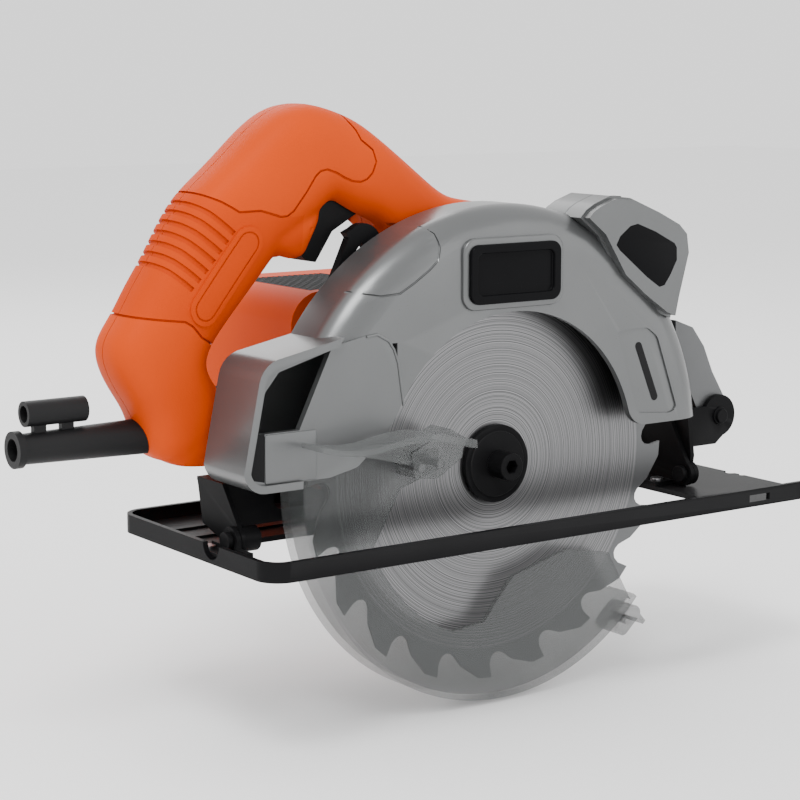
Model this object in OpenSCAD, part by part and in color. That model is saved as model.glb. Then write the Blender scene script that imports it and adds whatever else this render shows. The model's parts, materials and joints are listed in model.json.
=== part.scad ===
// Corded circular saw with a side-mounted motor, at its deepest cut and square to the shoe.
// +X is the cutting direction, +Y points to the motor and +Z up.
// The origin lies on the sole, on the cut line, straight below the arbor.

/* [Blade] */
// Blade diameter over the teeth
blade_d = 184; // [150:1:200]
// Number of teeth
teeth = 20; // [12:1:40]
// Thickness of the blade plate
blade_t = 1.2; // [0.8:0.1:2]
// Bore of the blade
bore_d = 15.88; // [12:0.01:20]
// Height of the arbor above the sole at the deepest cut
arbor_h = 26; // [25:0.5:34]

/* [Shoe] */
// Length of the shoe behind the arbor
shoe_rear = 132.5; // [124:0.5:150]
// Length of the shoe ahead of the arbor
shoe_front = 152.5; // [146:0.5:170]
// Distance from the cut line to the blade-side edge
shoe_near = 38; // [34:0.5:50]
// Distance from the cut line to the motor-side edge
shoe_far = 80; // [72:0.5:100]
// Sheet thickness of the shoe
shoe_t = 2.2; // [1.5:0.1:3]
// Height of the turned-up edges over the sole
flange_h = 7.7; // [5:0.1:8.2]
// Corner radius of the shoe
shoe_corner = 10; // [4:0.5:14]

/* [Guards] */
// Clearance between the blade tips and the lower guard's rim
tip_gap = 4.6; // [3:0.1:8]
// Wall of the lower guard
lower_wall = 2.2; // [1.6:0.1:3]
// Clearance between the two guards
guard_gap = 4.9; // [3:0.1:8]
// Wall of the upper guard
guard_wall = 3.8; // [3:0.1:5]
// Distance from the blade to the guard's front face
guard_front = 14; // [13:0.1:16]
// Distance from the blade to the guard's back face
guard_back = 14; // [13.8:0.1:14.5]
// Radius of the window in the guard's front face
window_r = 64.5; // [55:0.5:70]
// Radial width of the guard's rounded shoulder
shoulder = 16; // [10:0.5:20]
// Turn of the lower guard from shut to open
guard_turn = 122; // [90:1:125]

/* [Depth and bevel] */
// Distance of the depth pivot ahead of the arbor
pivot_x = 134; // [130:0.5:136]
// Height of the depth pivot over the sole
pivot_z = 32; // [31:0.5:36]
// Diameter of the depth pivot pin
pivot_d = 8; // [6:0.1:9]
// Radius of the depth strap's slot about the depth pivot
strap_r = 187; // [185:0.5:189]
// Largest depth setting angle
depth_turn = 24; // [18:1:28]
// Offset of the bevel axis from the cut line
bevel_y = 5; // [4:0.5:6]
// Height of the bevel axis over the sole
bevel_z = 8; // [7.8:0.1:9]
// Diameter of the bevel pins
bevel_pin_d = 6; // [4:0.1:7]
// Largest bevel angle
bevel_turn = 45; // [30:1:50]

/* [Gears] */
// Gear module
gear_m = 1.25; // [1:0.05:1.25]
// Teeth of the spindle gear
wheel_teeth = 29; // [25:1:30]
// Teeth of the armature pinion
pinion_teeth = 7; // [6:1:8]
// Direction from the arbor to the motor axis
motor_angle = 115; // [95:1:125]

/* [Handle] */
// Distance from the cut line to the handle's parting plane
handle_y = 35; // [33:0.5:37]
// Half width of the handle
handle_half = 19.5; // [17:0.5:20]
// Wall of the plastic shells
shell_wall = 3; // [2:0.1:3.5]
// Bore of the cord guard
cord_bore_d = 8.6; // [6:0.1:9]
// Length of the cord guard outside the handle
cord_guard_l = 55; // [40:1:70]
// Bore of the wrench holder
wrench_bore_d = 6.4; // [4:0.1:7]

/* [Fits] */
// Running clearance on the radius of a shaft in its bore
run = 0.05; // [0.02:0.01:0.1]
// Loose clearance between parts that pass each other
gap = 0.4; // [0.3:0.05:0.8]

/* [Hidden] */
$fn = 96;

blade_r = blade_d / 2;
lower_in_r = blade_r + tip_gap;
lower_r = lower_in_r + lower_wall;
guard_in_r = lower_r + guard_gap;
guard_r = guard_in_r + guard_wall;
lower_half = 8.5;
skin = 3;
pitch_wheel = gear_m * wheel_teeth / 2;
pitch_pinion = gear_m * pinion_teeth / 2;
centre_gap = pitch_wheel + pitch_pinion;
motor_x = centre_gap * cos(motor_angle);
motor_z = arbor_h + centre_gap * sin(motor_angle);
nose_r = 20.4;
leg_z = arbor_h + 11;
bolt_angle = 2.5;
strap_y = guard_back + 0.6;
strap_t = 2;
lever_y = strap_y + strap_t + gap;
lever_t = 4;
depth_bolt_x = pivot_x - strap_r * cos(bolt_angle);
depth_bolt_z = pivot_z + strap_r * sin(bolt_angle);

// ---- helpers ----
// A plate in the XZ plane, from y0 to y1.
module yplate(y0, y1) {
  translate([0, y1, 0]) rotate([90, 0, 0]) linear_extrude(y1 - y0) children();
}
// A plate in the YZ plane, from x0 to x1.
module xplate(x0, x1) {
  translate([x0, 0, 0]) rotate([90, 0, 90]) linear_extrude(x1 - x0) children();
}
// A cylinder along Y, from y0 to y1.
module yrod(r, y0, y1) {
  translate([0, y0, 0]) rotate([-90, 0, 0]) cylinder(r = r, h = y1 - y0);
}
module yring(r, bore, y0, y1) {
  difference() {
    yrod(r, y0, y1);
    yrod(bore, y0 - 1, y1 + 1);
  }
}
// A cylinder along X, from x0 to x1.
module xrod(r, x0, x1) {
  translate([x0, 0, 0]) rotate([0, 90, 0]) cylinder(r = r, h = x1 - x0);
}
// A profile of (radius, -y) points turned about Y from angle a0 to a1, seen from the blade side.
module yspin(a0, a1) {
  rotate([90, 0, 0]) rotate_extrude(angle = a1 - a0, start = a0) children();
}
module at_arbor() { translate([0, 0, arbor_h]) children(); }
module at_motor() { translate([motor_x, 0, motor_z]) children(); }
module at_pivot() { translate([pivot_x, 0, pivot_z]) children(); }
module at_depth_bolt() { translate([depth_bolt_x, 0, depth_bolt_z]) children(); }
module at_bevel() { translate([0, bevel_y, bevel_z]) children(); }
function polar(r, a) = [r * cos(a), r * sin(a)];
function arc(c, r, a0, a1, n) = [for (i = [0 : n]) c + polar(r, a0 + (a1 - a0) * i / n)];
function ellipse_arc(c, rx, ry, a0, a1, n) =
  [for (i = [0 : n]) let (a = a0 + (a1 - a0) * i / n) c + [rx * cos(a), ry * sin(a)]];
function unit(v) = v / norm(v);
function left(v) = [-v[1], v[0]];
// An outline moved inwards by d; its points run anticlockwise.
function inset(p, d) = [for (i = [0 : len(p) - 1])
  let (
    n = len(p),
    a = left(unit(p[i] - p[(i + n - 1) % n])),
    b = left(unit(p[(i + 1) % n] - p[i])),
    m = a + b
  )
  p[i] + m * (2 * d / (m * m))];
// A sector of a ring, drawn about its own centre.
module sector(r0, r1, a0, a1) {
  difference() {
    intersection() {
      circle(r1);
      polygon(concat([[0, 0]], arc([0, 0], r1 * 1.5, a0, a1, 6)));
    }
    circle(r0);
  }
}
module round_rect(w, h, r) {
  for (x = [-1, 1], y = [-1, 1]) translate([x * (w / 2 - r), y * (h / 2 - r)]) circle(r);
  square([w - 2 * r, h], center = true);
  square([w, h - 2 * r], center = true);
}
// The arc of a slot about the current centre.
module arc_slot(r, half, a0, a1) {
  sector(r - half, r + half, a0, a1);
  for (a = [a0, a1]) translate(polar(r, a)) circle(half);
}

// ---- shoe ----
slot_rear = -118;
slot_front = 101;
slot_near = -16;
slot_far = 25;
fence_x = 111;
fence_w = 12;
quadrant_x = pivot_x - 22.5;
quadrant_t = 2.2;
quadrant_r = 38;
bolt_from = 14;
lug_x = -124;
rivets = [[quadrant_x - 6, 15.5], [quadrant_x - 6, 36], [lug_x - 3.2, -6], [lug_x - 3.2, 16]];
rivet_r = 1.9;

module shoe_outline() {
  r = shoe_corner;
  for (x = [-shoe_rear + r], y = [-shoe_near + r, shoe_far - r]) translate([x, y]) circle(r);
  translate([-shoe_rear + r, -shoe_near]) square([shoe_rear + shoe_front - r - 14, shoe_near + shoe_far]);
  translate([-shoe_rear, -shoe_near + r]) square([r + 1, shoe_near + shoe_far - 2 * r]);
  polygon([
    [shoe_front - 15, -shoe_near], [shoe_front - 6, -shoe_near], [shoe_front, -shoe_near + 5],
    [shoe_front, shoe_far - 12], [shoe_front - 4, shoe_far], [shoe_front - 15, shoe_far]
  ]);
}
module shoe_inside() {
  r = shoe_corner - shoe_t;
  for (y = [-shoe_near + shoe_corner, shoe_far - shoe_corner])
    translate([-shoe_rear + shoe_corner, y]) circle(r);
  translate([-shoe_rear + shoe_corner, -shoe_near + shoe_t])
    square([shoe_rear + shoe_front, shoe_near + shoe_far - 2 * shoe_t]);
  translate([-shoe_rear + shoe_t, -shoe_near + shoe_corner])
    square([shoe_corner, shoe_near + shoe_far - 2 * shoe_corner]);
}
module shoe() {
  color([0.10, 0.10, 0.11]) difference() {
    union() {
      linear_extrude(shoe_t) difference() {
        shoe_outline();
        translate([slot_rear, slot_near]) square([slot_front - slot_rear, slot_far - slot_near]);
        translate([shoe_front, 17]) circle(3);
        translate([shoe_front, 9.5]) circle(1.6);
        for (p = rivets) translate(p) circle(rivet_r);
      }
      linear_extrude(flange_h) difference() {
        shoe_outline();
        shoe_inside();
      }
      for (y = [40, 56]) translate([-shoe_rear + 8, y - 2, shoe_t - 0.1])
        cube([quadrant_x + shoe_rear - 30, 4, 1.1]);
    }
    translate([fence_x, -shoe_near - 1, shoe_t]) cube([fence_w, shoe_t + 2, 3]);
    translate([fence_x, shoe_far - shoe_t - 1, shoe_t]) cube([fence_w, shoe_t + 2, 3]);
    translate([0, bevel_y, flange_h]) xrod(6, -shoe_rear - 1, -shoe_rear + shoe_t + 1);
  }
}
module front_quadrant() {
  color([0.09, 0.09, 0.10]) difference() {
    union() {
      xplate(quadrant_x, quadrant_x + quadrant_t) difference() {
        union() {
          translate([bevel_y, bevel_z]) circle(5.5);
          translate([bevel_y, bevel_z]) sector(quadrant_r - 7, quadrant_r + 4, 6, 66);
          polygon([
            [bevel_y, shoe_t], [bevel_y + 41.5, shoe_t], [bevel_y + 41.5, bevel_z + 6],
            [bevel_y + 30, bevel_z + 22], [bevel_y + 12, bevel_z + 28], [bevel_y - 3, bevel_z + 4]
          ]);
        }
        translate([bevel_y, bevel_z]) circle(bevel_pin_d / 2 + run);
        translate([bevel_y, bevel_z]) arc_slot(quadrant_r, 3.2, bolt_from, bolt_from + bevel_turn);
      }
      translate([quadrant_x - 11, bevel_y + 6, shoe_t]) cube([11.5, 35.5, 2]);
    }
    for (i = [0, 1]) translate([rivets[i][0], rivets[i][1], 0]) cylinder(r = rivet_r, h = 8);
  }
}
module rear_hinge_lug() {
  color([0.09, 0.09, 0.10]) difference() {
    union() {
      xplate(lug_x, lug_x + 2) difference() {
        union() {
          translate([bevel_y, bevel_z]) circle(5.5);
          translate([bevel_y - 14, shoe_t]) square([28, 3.4]);
          translate([bevel_y - 5.5, shoe_t]) square([11, bevel_z - shoe_t]);
        }
        translate([bevel_y, bevel_z]) circle(bevel_pin_d / 2 + run);
      }
      translate([-shoe_rear + shoe_t + 0.1, bevel_y - 14, shoe_t])
        cube([lug_x + 0.5 + shoe_rear - shoe_t, 28, 1.6]);
    }
    for (i = [2, 3]) translate([rivets[i][0], rivets[i][1], 0]) cylinder(r = rivet_r, h = 8);
  }
}
module shoe_rivets() {
  color([0.55, 0.55, 0.57]) for (i = [0 : 3]) translate([rivets[i][0], rivets[i][1], 0.2]) {
    top = i < 2 ? shoe_t + 2 : shoe_t + 1.6;
    cylinder(r = rivet_r, h = top - 0.2);
    translate([0, 0, top - 0.2]) cylinder(r = 2.9, h = 1);
  }
}

// ---- bevel frame ----
web_x = quadrant_x + quadrant_t + 0.5;
web_t = 2.2;
ear_near = 6;
ear_far = 20.3;
ear_t = 2.2;
ear_r = 9.5;
base_z0 = 10.5;
base_z1 = arbor_h + 2.6;

module ear_outline() {
  difference() {
    union() {
      translate([pivot_x, pivot_z]) circle(ear_r);
      polygon([
        [web_x, pivot_z - 12.7], [pivot_x - 2, pivot_z - 12.7], [pivot_x + 8.2, pivot_z - 4.8],
        [pivot_x, pivot_z + 5], [pivot_x - 8.2, pivot_z + 4.8], [web_x, pivot_z + 4.8]
      ]);
    }
    translate([pivot_x, pivot_z]) circle(pivot_d / 2);
  }
}
module front_bracket() {
  color([0.07, 0.07, 0.08]) {
    yplate(ear_near, ear_near + ear_t) ear_outline();
    yplate(ear_far, ear_far + ear_t) ear_outline();
    xplate(web_x, web_x + web_t) difference() {
      union() {
        translate([bevel_y, bevel_z]) circle(5.2);
        polygon([
          [bevel_y, bevel_z - 5], [bevel_y + 40, bevel_z], [bevel_y + 44, bevel_z + 12],
          [bevel_y + 32, bevel_z + 18], [ear_far + ear_t, pivot_z + 4.8], [ear_near, pivot_z + 4.8],
          [ear_near - 3, bevel_z + 8]
        ]);
      }
      translate([bevel_y, bevel_z]) circle(bevel_pin_d / 2);
      translate([bevel_y, bevel_z] + polar(quadrant_r, bolt_from)) circle(3);
    }
  }
}
module strap_outline() {
  translate([pivot_x, pivot_z]) difference() {
    sector(strap_r - 6.5, strap_r + 6.5, 180 - bolt_angle - depth_turn - 2.5, 183.5);
    arc_slot(strap_r, 3.4, 180 - bolt_angle - depth_turn - 0.3, 180 - bolt_angle + 0.3);
  }
}
rear_web_x = lug_x + 2.5;
module rear_depth_bracket() {
  color([0.07, 0.07, 0.08]) {
    yplate(strap_y, strap_y + strap_t) difference() {
      union() {
        strap_outline();
        polygon([
          [rear_web_x, base_z0], [depth_bolt_x - 2, base_z0], [depth_bolt_x - 4, base_z1 - 2],
          [-98, base_z1], [rear_web_x, base_z1]
        ]);
      }
      translate([-86, 19.5]) round_rect(24, 8, 3.9);
    }
    xplate(rear_web_x, rear_web_x + 2) difference() {
      union() {
        translate([bevel_y, bevel_z]) circle(5.2);
        polygon([
          [bevel_y, bevel_z - 5], [30, base_z0], [34, base_z1], [strap_y, base_z1],
          [bevel_y - 3, bevel_z + 4]
        ]);
      }
      translate([bevel_y, bevel_z]) circle(bevel_pin_d / 2);
    }
    translate([rear_web_x, strap_y, base_z1 - 1.6]) cube([24, 34 - strap_y, 1.6]);
  }
}
module bevel_pins() {
  head = bevel_pin_d / 2 + 0.7;
  color([0.62, 0.62, 0.64]) at_bevel() {
    xrod(bevel_pin_d / 2, quadrant_x - 1, web_x + web_t);
    xrod(head, quadrant_x - 3, quadrant_x - 0.3);
    xrod(head, web_x + web_t, web_x + web_t + 1.6);
    xrod(bevel_pin_d / 2, lug_x - 1, rear_web_x + 2);
    xrod(head, lug_x - 2.6, lug_x - 0.3);
    xrod(5, rear_web_x + 2, rear_web_x + 9);
  }
}
module at_bevel_bolt() {
  p = polar(quadrant_r, bolt_from);
  translate([0, bevel_y + p[0], bevel_z + p[1]]) children();
}
module bevel_lock_bolt() {
  color([0.62, 0.62, 0.64]) at_bevel_bolt() {
    xrod(3, quadrant_x - 1, web_x + web_t + 16);
    xrod(5.6, quadrant_x - 3.6, quadrant_x - gap);
  }
}
knob_x = web_x + web_t + gap;
module bevel_knob() {
  color([0.06, 0.06, 0.07]) at_bevel_bolt() difference() {
    union() {
      xrod(6, knob_x, knob_x + 15);
      xplate(knob_x + 3, knob_x + 13) {
        round_rect(11, 26, 5);
        circle(8);
      }
    }
    xrod(3 + run, knob_x - 1, web_x + web_t + 16 + gap);
  }
}
module depth_pivot_pin() {
  color([0.75, 0.75, 0.77]) at_pivot() {
    yrod(pivot_d / 2, ear_near - 1, ear_far + ear_t + 1);
    yrod(3.1, ear_near - 2.4, ear_near - 1);
    yrod(5.6, ear_far + ear_t + 0.02, ear_far + ear_t + 2);
  }
}

// ---- depth lock ----
module depth_bolt() {
  color([0.62, 0.62, 0.64]) at_depth_bolt() {
    yrod(3, guard_back - 2, lever_y + lever_t + 6);
    yrod(5.5, guard_back - 4.2, guard_back - 2);
  }
}
module depth_nut() {
  color([0.70, 0.70, 0.72]) at_depth_bolt() difference() {
    translate([0, lever_y + lever_t + 0.3, 0]) rotate([-90, 0, 0]) cylinder(r = 6, h = 4, $fn = 6);
    yrod(3, 0, 60);
  }
}
module depth_lever() {
  top = arbor_h + 96;
  color([0.08, 0.08, 0.09]) difference() {
    union() {
      at_depth_bolt() yrod(9, lever_y, lever_y + lever_t);
      yplate(lever_y, lever_y + lever_t) difference() {
        polygon(concat(
          [[depth_bolt_x - 6, depth_bolt_z + 6], [depth_bolt_x + 6, depth_bolt_z + 6],
           [-56, top - 25], [-45, top - 6]],
          arc([-53, top - 4], 8.5, 0, 130, 8),
          [[-68, top - 18], [-63, top - 36]]
        ));
        polygon([[-61, top - 20], [-58, top - 22], [-51, top - 7], [-54, top - 3], [-58, top - 8]]);
      }
      yplate(lever_y, lever_y + lever_t + 0.5) polygon([
        [-61.5, top + 1], [-59.5, top - 1.5], [-55, top + 1], [-49.5, top - 3.4], [-45, top - 6],
        [-44.6, top - 2], [-48, top + 2.6], [-54, top + 4.3]
      ]);
    }
    at_depth_bolt() yrod(3 + run, 0, 60);
  }
}

// ---- upper guard ----
chute_x = -130;
chute_floor = arbor_h + 3.5;
chute = concat(
  arc([chute_x + 9.5, chute_floor + 9.5], 9.5, 188, 270, 6),
  [[-90, chute_floor], [-76, chute_floor + 3], [-63, chute_floor + 14], [-52.6, chute_floor + 27.5],
   [-52.4, arbor_h + 40], [-60, arbor_h + 61], [-73, arbor_h + 62.5]],
  arc([-112, arbor_h + 43.5], 11, 103, 168, 5)
);
chute_hole = [
  [-104, arbor_h + 26], [-89.5, arbor_h + 55.5], [-113, arbor_h + 49], [-119, arbor_h + 42],
  [-125, arbor_h + 26]
];
chute_front = guard_front + 2;
chute_meets = -58.3;
leg_round = 10;
leg_round_x = sqrt(pow(window_r + leg_round, 2) - pow(leg_z - arbor_h + leg_round, 2));

module guard_shell_profile() {
  c = [guard_r - shoulder, guard_front - 12];
  polygon(concat(
    [[guard_r, -guard_back]],
    ellipse_arc(c, shoulder, 12, 0, 90, 10),
    [[window_r, guard_front], [window_r, guard_front - skin]],
    ellipse_arc(c, shoulder - guard_wall, 12 - skin, 90, 0, 8),
    [[guard_in_r, -guard_back]]
  ));
}
module guard_back_2d() {
  difference() {
    union() {
      intersection() {
        translate([0, arbor_h]) circle(guard_r);
        translate([-guard_r - 1, leg_z]) square([2 * guard_r + 2, guard_r + 1]);
      }
      translate([0, arbor_h]) circle(21.5);
      polygon([
        [-52, leg_z + 1], [-34, arbor_h - 6], [-12, arbor_h - 17], [12, arbor_h - 17],
        [30, arbor_h], [52, leg_z + 1]
      ]);
    }
    translate([0, arbor_h]) circle(nose_r + gap);
    translate([depth_bolt_x, depth_bolt_z]) circle(3);
  }
}
module upper_guard() {
  color([0.47, 0.48, 0.49]) {
    difference() {
      union() {
        difference() {
          at_arbor() yspin(0, 180) guard_shell_profile();
          translate([0, -50, -1]) cube([guard_r + 5, 100, leg_z + 1]);
          yplate(-30, 40) translate([-guard_r - 5, 0]) square([guard_r + 5 + chute_meets, arbor_h + 56]);
        }
        yplate(guard_back - 2, guard_back) guard_back_2d();
        yplate(-chute_front, guard_back) difference() {
          polygon(chute);
          polygon(inset(chute, skin));
          translate([0, arbor_h]) circle(guard_in_r);
        }
        yplate(-guard_front, -guard_front + skin) difference() {
          polygon(inset(chute, skin - 0.5));
          polygon(chute_hole);
        }
        yplate(guard_back - 2, guard_back) polygon(inset(chute, skin - 0.5));
      }
      yplate(-guard_front - 6, 0) {
        translate([0, arbor_h]) circle(window_r);
        polygon([[-51.6, arbor_h + 38.6], [-66, chute_floor + 12], [-40, 0], [0, arbor_h]]);
      }
      yplate(-guard_front - 1, -guard_front + skin + 0.5) difference() {
        polygon([[0, arbor_h], [leg_round_x, leg_z + leg_round], [leg_round_x, leg_z - 1]]);
        translate([leg_round_x, leg_z + leg_round]) circle(leg_round);
      }
      at_depth_bolt() yrod(3, 0, 40);
      at_arbor() for (p = guard_screw_at) translate([p[0], 0, p[1]]) yrod(2, 0, 40);
    }
  }
}
badge_w = 46;
badge_h = 24;
badge_z = arbor_h + 80.5;
badge_x = -1.5;
module badge_plate() {
  color([0.08, 0.08, 0.09]) translate([badge_x, 0, badge_z]) {
    yplate(-guard_front - 3.2, -guard_front) difference() {
      round_rect(badge_w, badge_h, 4.5);
      round_rect(badge_w - 7, badge_h - 7, 2.6);
    }
    yplate(-guard_front - 1.6, -guard_front) round_rect(badge_w - 7, badge_h - 7, 2.6);
  }
}
guard_screw_at = [[-10, 29], [30, 38], [62, 48], [88, 40]];
module guard_screws() {
  color([0.30, 0.30, 0.32]) at_arbor() for (p = guard_screw_at)
    translate([p[0], 0, p[1]]) {
      yrod(2, guard_back - 2.1, guard_back + 3);
      yrod(3.8, guard_back - 4.4, guard_back - 2);
    }
}

// ---- gear case ----
case_back = 37;
lock_y = 17.6;
lock_r = 1.8;
case_wall = 1.8;
case_r = pitch_wheel + gear_m + 0.7 + case_wall;
arm_t = 5.2;
module case_outline(extra) {
  translate([0, arbor_h]) circle(case_r - case_wall + extra);
  translate([motor_x, motor_z]) circle(11.6 + extra);
  translate([0, arbor_h]) rotate(motor_angle) translate([0, -9 - extra]) square([centre_gap, 18 + 2 * extra]);
}
module lug_arm() {
  difference() {
    union() {
      translate([pivot_x, pivot_z]) circle(8.6);
      polygon([
        [18, arbor_h + 8], [70, arbor_h + 26], [104, arbor_h + 28], [116, arbor_h + 22.5],
        [pivot_x - 8.4, pivot_z - 2], [pivot_x + 8.2, pivot_z + 3], [pivot_x - 2.5, pivot_z + 20],
        [pivot_x - 8, pivot_z + 32], [pivot_x - 15, pivot_z + 41], [107, arbor_h + 51.5],
        [96, arbor_h + 56], [60, arbor_h + 66], [14, arbor_h + 44]
      ]);
    }
    translate([pivot_x, pivot_z]) circle(pivot_d / 2 + run);
  }
}
module gear_case() {
  color([0.50, 0.51, 0.52]) difference() {
    union() {
      at_arbor() yrod(nose_r, 5.2, guard_back + 3);
      yplate(guard_back, case_back - 4) case_outline(case_wall);
      yplate(case_back - 4, case_back) difference() {
        union() {
          translate([motor_x, motor_z]) circle(33);
          translate([0, arbor_h]) circle(case_r);
        }
      }
      yplate(guard_back + 0.3, guard_back + 0.3 + arm_t) lug_arm();
      yplate(ear_near + ear_t + gap, guard_back + 1) intersection() {
        lug_arm();
        translate([max(guard_r + 1.2, pivot_x - 25.3), 0]) square([60, 120]);
      }
    }
    yplate(guard_back + 3, case_back - 4) case_outline(0);
    at_arbor() yrod(16, 6, guard_back + 3.5);
    at_arbor() yrod(9.8, 0, 10);
    at_arbor() yrod(8, case_back - 5, case_back - 0.8);
    at_motor() yrod(11, case_back - 5, case_back + 1);
    for (p = case_screw_at) translate([motor_x + p[0], 0, motor_z + p[1]]) yrod(2, 30, 60);
    at_arbor() for (p = guard_screw_at) translate([p[0], 0, p[1]]) yrod(2, 0, guard_back + 3.05);
    at_arbor() translate([0, lock_y, 0]) xrod(lock_r + run, 0, 60);
  }
}
case_screw_at = [for (a = [20, 95, 165, 225]) polar(29.5, a)];
module gear_case_screws() {
  color([0.60, 0.60, 0.62]) for (p = case_screw_at) translate([motor_x + p[0], 0, motor_z + p[1]]) {
    yrod(2, case_back - 4, case_back + 2.4);
    yrod(3.6, case_back - 6.4, case_back - 4);
  }
}

// ---- laser ----
// The line marker moves out and in with the guard's rim.
laser_off = (guard_r - 107.5) * [cos(43), sin(43)];
laser_shape = [
  [44.5, arbor_h + 92.9], [51.2, arbor_h + 82.5], [55.8, arbor_h + 75.5], [67.2, arbor_h + 66.4],
  [79.8, arbor_h + 57.9], [85.6, arbor_h + 55.8], [87.7, arbor_h + 65], [90, arbor_h + 73.6],
  [92.9, arbor_h + 83.7], [91.5, arbor_h + 92.3], [86.8, arbor_h + 96.8], [75.2, arbor_h + 102.4],
  [61.7, arbor_h + 107.9], [50.7, arbor_h + 109.2], [42, arbor_h + 106.2], [37.8, arbor_h + 103.9],
  [34.6, arbor_h + 100.7]
];
laser_room = [for (p = [
  [44, 90], [60, 70], [83, 64], [85.3, 74], [88.3, 83.6], [87.2, 90], [84, 93], [73.3, 98.2],
  [60.7, 103.3], [50, 104.5], [44, 103]
]) p + [0, arbor_h] + laser_off];
laser = [for (p = laser_shape) p + laser_off];
laser_split = -2;
laser_back = guard_back - 1;
laser_face = guard_front + 3;
label_shape = [
  [51, arbor_h + 89], [53, arbor_h + 86.6], [68.3, arbor_h + 74.6], [75.4, arbor_h + 70],
  [78.3, arbor_h + 70.6], [81.6, arbor_h + 75], [85, arbor_h + 81], [84.8, arbor_h + 86.3],
  [83.4, arbor_h + 88.2], [72.5, arbor_h + 93.6], [62.6, arbor_h + 97.3], [58.5, arbor_h + 96.5],
  [53, arbor_h + 92.5]
];
label = [for (p = label_shape) p + laser_off];
module guard_envelope(c) {
  at_arbor() yspin(-10, 190) polygon(concat(
    [[0, -40], [guard_r + c, -40]],
    ellipse_arc([guard_r - shoulder, guard_front - 12], shoulder + c, 12 + c, 0, 90, 10),
    [[0, guard_front + c]]
  ));
}
module laser_housing_front() {
  color([0.47, 0.48, 0.49]) difference() {
    union() {
      yplate(-guard_front + 1, laser_split) polygon(laser);
      yplate(-laser_face, -guard_front + 1) polygon(inset(laser, 1));
    }
    guard_envelope(0.1);
    yplate(-guard_front + 1, 5) intersection() {
      polygon(laser_room);
      difference() {
        translate([0, arbor_h]) circle(guard_r + 60);
        translate([0, arbor_h]) circle(guard_r + 2);
      }
    }
    yplate(-laser_face - 1, -laser_face + 1) polygon(label);
  }
}
module laser_housing_rear() {
  color([0.40, 0.41, 0.42]) difference() {
    yplate(laser_split + 0.1, laser_back) polygon(laser);
    guard_envelope(0.1);
    yplate(-5, laser_back - skin) intersection() {
      polygon(laser_room);
      difference() {
        translate([0, arbor_h]) circle(guard_r + 60);
        translate([0, arbor_h]) circle(guard_r + 2);
      }
    }
    translate([65 + laser_off[0], 2, arbor_h + 95 + laser_off[1]]) cube([9, 6, 18]);
  }
}
module laser_label() {
  color([0.05, 0.05, 0.06]) yplate(-laser_face + 0.1, -laser_face + 0.9) polygon(inset(label, 0.15));
}
laser_at = [81.5, arbor_h + 85] + laser_off;
module laser_module() {
  color([0.70, 0.60, 0.35]) translate([laser_at[0], 0, laser_at[1]]) rotate([0, 20, 0]) {
    translate([0, 3, -5]) cylinder(r = 3.4, h = 9);
    translate([0, 3, -7]) cylinder(r = 2, h = 2.1);
    translate([-2.4, 4, -3]) cube([4.8, laser_back - skin - 4, 6]);
  }
}
module laser_switch() {
  color([0.07, 0.07, 0.08]) translate([68 + laser_off[0], 5, arbor_h + 101.8 + laser_off[1]])
    cube([5, 5.2, 11.5], center = true);
}

// ---- lower guard ----
rim_start = -172;
rim_end = -42;
lever_y0 = -34;
lever_y1 = -guard_front - 4.6;
front_wall = concat(
  arc([0, 0], lower_r - 1, rim_start - 16, rim_end - 2, 18),
  [polar(72, -38), polar(52, -50), polar(47.5, -84)],
  [polar(57, -94), polar(65.5, -99)],
  arc([0, 0], 71.5, -112, -158, 6),
  [polar(53, -176), polar(34, -184), polar(36, -197), polar(78, -191)]
);
module lower_guard() {
  color([0.45, 0.47, 0.48, 0.45]) at_arbor() difference() {
    union() {
      yplate(lower_half - lower_wall, lower_half) sector(nose_r + 1, lower_r - 0.5, rim_start - 11, rim_end - 1);
      yplate(-lower_half, -lower_half + lower_wall) polygon(front_wall);
      yspin(rim_start - 12, rim_end) translate([lower_in_r, -lower_half])
        square([lower_wall, 2 * lower_half]);
      yrod(27, lower_half - 2.9, lower_half);
    }
    yrod(nose_r + run, -1, 20);
    for (p = lever_screw_at) translate([p[0], 0, p[1]]) yrod(1.6, -20, 0);
  }
}
lever_screw_at = [[-50, 6], [-41, 7]];
module guard_lever() {
  color([0.50, 0.52, 0.54, 0.55]) at_arbor() difference() {
    union() {
      yplate(lever_y1 - 3, -lower_half - 0.02) polygon([
        [-57, 13], [-55, 2.8], [-44, 1.6], [-32, 9], [-31, 17], [-38, 21]
      ]);
      yplate(lever_y0, lever_y1) polygon(concat(
        [[-34, 14.5], [-34, 18]],
        [for (i = [0 : 8]) [-42 - 8 * i, 19.5 + 2.2 * sin(i * 45) + i * 0.35]],
        [for (i = [8 : -1 : 0]) [-42 - 8 * i, 16.6 + 2.2 * sin(i * 45) + i * 0.45]]
      ));
      yplate(lever_y1 - 2.2, lever_y1) polygon([[-34, 17], [-98, 19], [-74, 12.5], [-52, 7], [-38, 6]]);
    }
    for (p = lever_screw_at) translate([p[0], 0, p[1]]) yrod(1.6, -20, 0);
  }
}
module guard_lever_screws() {
  color([0.72, 0.72, 0.74]) at_arbor() for (p = lever_screw_at) translate([p[0], 0, p[1]]) {
    yrod(1.55, -19, -lower_half + lower_wall);
    yrod(2.8, -lower_half + lower_wall, -lower_half + lower_wall + 1.4);
  }
}
module guard_bumper() {
  color([0.75, 0.77, 0.78, 0.5]) at_arbor() rotate([0, 48, 0]) yplate(-lower_half - 1, lower_half - 3) {
    difference() {
      translate([lower_r + 3.4, 0]) round_rect(6.6, 15, 3);
      translate([lower_r + 3.4, 0]) circle(2);
      circle(lower_r + 0.1);
    }
    translate([lower_r + 5.5, 4]) square([5.5, 2.2]);
  }
}
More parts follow.
